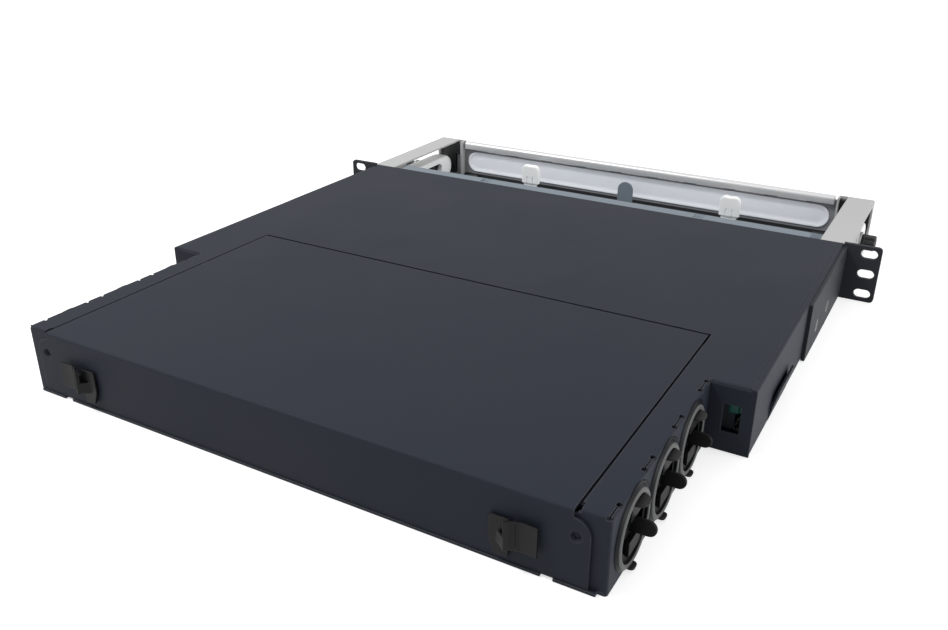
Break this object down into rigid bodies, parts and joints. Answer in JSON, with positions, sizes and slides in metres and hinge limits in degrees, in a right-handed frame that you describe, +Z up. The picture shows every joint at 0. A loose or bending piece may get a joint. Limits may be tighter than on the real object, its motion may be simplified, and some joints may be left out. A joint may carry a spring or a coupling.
{
  "type": "sliding fibre patch drawer",
  "caption": "Rack-mount fibre patch drawer: folded steel case with side cable glands, lift-up rear lid, telescopic slides, and a front trough with side fibre exits and a hinged door.",
  "frame": {"origin": "centre of the ear slot pattern, in the plane where the ears rest on the rack's rails", "axes": "+X to the right seen from the door, +Y from the door to the back of the case, +Z up"},
  "size_m": [0.4826, 0.5373, 0.044],
  "materials": {
    "case_paint": "fine textured, satin",
    "grey_paint": "satin",
    "trough_paint": "satin silver",
    "slide_steel": "zinc plated",
    "black_steel": "black",
    "black_plastic": "matt",
    "module_plastic": "matt",
    "adapter_blue": "satin",
    "plug_white": "matt",
    "white_plastic": "satin",
    "door_grey": "satin",
    "door_clear": "frosted clear",
    "door_silver": "satin anodised",
    "lever_green": "satin"
  },
  "bodies": {
    "chassis": {"chassis_tub": "case_paint", "top_cover": "case_paint", "rack_ear_left": "case_paint", "rack_ear_right": "case_paint", "ear_screws": "black_steel", "gland_ring_left_1": "black_plastic", "gland_ring_left_2": "black_plastic", "gland_ring_left_3": "black_plastic", "gland_ring_right_1": "black_plastic", "gland_ring_right_2": "black_plastic", "gland_ring_right_3": "black_plastic", "gland_plugs": "black_plastic", "rear_spools": "black_plastic", "slide_outer_left": "slide_steel", "slide_outer_right": "slide_steel", "slide_rivets": "slide_steel", "tie_bars": "grey_paint"},
    "rear_cover": {"rear_cover": "case_paint"},
    "latch_left": {"cover_latch_left": "black_plastic"},
    "latch_right": {"cover_latch_right": "black_plastic"},
    "slide_middle": {"slide_middle_left": "slide_steel", "slide_middle_right": "slide_steel", "ball_cages_left": "slide_steel", "ball_cages_right": "slide_steel"},
    "drawer": {"slide_inner_left": "slide_steel", "slide_inner_right": "slide_steel", "lever_pivots": "slide_steel", "hinge_pins": "slide_steel", "drawer_tray": "grey_paint", "front_rail": "grey_paint", "trough_floor": "grey_paint", "module_guides": "grey_paint", "trough_bracket_left": "trough_paint", "trough_bracket_right": "trough_paint", "module_body_1": "module_plastic", "module_body_2": "module_plastic", "module_body_3": "module_plastic", "module_body_4": "module_plastic", "module_lids": "module_plastic", "adapters_1": "adapter_blue", "adapters_2": "adapter_blue", "adapters_3": "adapter_blue", "adapters_4": "adapter_blue", "dust_plugs": "plug_white", "mpo_adapters": "black_plastic", "slack_spools": "black_plastic", "guide_core_left": "black_plastic", "guide_core_right": "black_plastic", "catch_blocks": "black_plastic", "finger_caps": "white_plastic", "radius_guide_left": "white_plastic", "radius_guide_right": "white_plastic"},
    "door": {"door_panel": "door_grey", "door_window": "door_clear", "door_rail": "door_silver"},
    "lever_left": {"release_lever_left": "lever_green"},
    "lever_right": {"release_lever_right": "lever_green"},
    "knob_left": {"guide_knob_left": "black_plastic"},
    "knob_right": {"guide_knob_right": "black_plastic"}
  },
  "joints": [
    {"name": "drawer_slide", "type": "slide", "parent": "chassis", "child": "drawer", "axis": [0, -1, 0], "range_m": [0, 0.23]},
    {"name": "slide_stage", "type": "slide", "parent": "chassis", "child": "slide_middle", "axis": [0, -1, 0], "range_m": [0, 0.115]},
    {"name": "door_hinge", "type": "hinge", "parent": "drawer", "child": "door", "pos_m": [0, -0.125, -0.0168], "axis": [1, 0, 0], "range_deg": [0, 90]},
    {"name": "rear_cover_hinge", "type": "hinge", "parent": "chassis", "child": "rear_cover", "pos_m": [0, 0.204, 0.0189], "axis": [1, 0, 0], "range_deg": [0, 70]},
    {"name": "latch_left_slide", "type": "slide", "parent": "rear_cover", "child": "latch_left", "axis": [-1, 0, 0], "range_m": [0, 0.006]},
    {"name": "latch_right_slide", "type": "slide", "parent": "rear_cover", "child": "latch_right", "axis": [1, 0, 0], "range_m": [0, 0.006]},
    {"name": "lever_left_pivot", "type": "hinge", "parent": "drawer", "child": "lever_left", "pos_m": [-0.2038, 0.215, -0.0005], "axis": [1, 0, 0], "range_deg": [-5, 0], "stiffness_Nm_per_rad": 0.5},
    {"name": "lever_right_pivot", "type": "hinge", "parent": "drawer", "child": "lever_right", "pos_m": [0.2038, 0.215, -0.0005], "axis": [1, 0, 0], "range_deg": [-5, 0], "stiffness_Nm_per_rad": 0.5},
    {"name": "knob_left_turn", "type": "hinge", "parent": "drawer", "child": "knob_left", "pos_m": [-0.2236, -0.077, -0.001], "axis": [-1, 0, 0], "range_deg": [0, 90]},
    {"name": "knob_right_turn", "type": "hinge", "parent": "drawer", "child": "knob_right", "pos_m": [0.2236, -0.077, -0.001], "axis": [1, 0, 0], "range_deg": [0, 90]}
  ],
  "couplings": [
    {"joint": "slide_stage", "follows": "drawer_slide", "ratio": 0.5}
  ]
}
